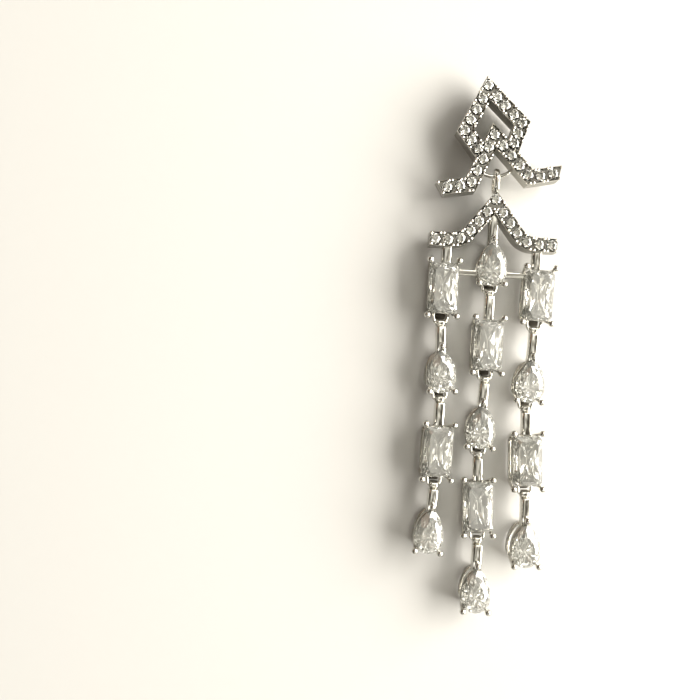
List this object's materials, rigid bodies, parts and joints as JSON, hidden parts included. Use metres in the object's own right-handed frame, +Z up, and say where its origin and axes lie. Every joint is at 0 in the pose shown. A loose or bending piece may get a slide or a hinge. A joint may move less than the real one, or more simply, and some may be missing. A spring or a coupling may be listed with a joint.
{
  "type": "chandelier earring",
  "caption": "Chandelier earring lying face up: pavé diamond and chevron top, pavé roof, and three hung strands of claw-set baguette and pear stones on short bars.",
  "frame": {"origin": "under the middle of the earring's outline, on the surface that it lies on", "axes": "+Z up out of the face, +Y along the earring from its lowest stone towards the tip of the diamond, +X to the right across the strands"},
  "size_m": [0.0134, 0.054, 0.0036],
  "materials": {
    "metal": "polished rhodium plate, bright, with soft wear on edges",
    "zirconia": "faceted clear cubic zirconia, polished"
  },
  "bodies": {
    "root": {"top_frame": "metal", "ear_clip": "metal", "roof_frame": "metal", "left_stone_1": "zirconia", "left_setting_2": "metal", "left_stone_2": "zirconia", "left_setting_3": "metal", "left_stone_3": "zirconia", "left_setting_4": "metal", "left_stone_4": "zirconia", "centre_stone_1": "zirconia", "centre_setting_2": "metal", "centre_stone_2": "zirconia", "centre_setting_3": "metal", "centre_stone_3": "zirconia", "centre_setting_4": "metal", "centre_stone_4": "zirconia", "centre_setting_5": "metal", "centre_stone_5": "zirconia", "right_stone_1": "zirconia", "right_setting_2": "metal", "right_stone_2": "zirconia", "right_setting_3": "metal", "right_stone_3": "zirconia", "right_setting_4": "metal", "right_stone_4": "zirconia"}
  },
  "joints": []
}
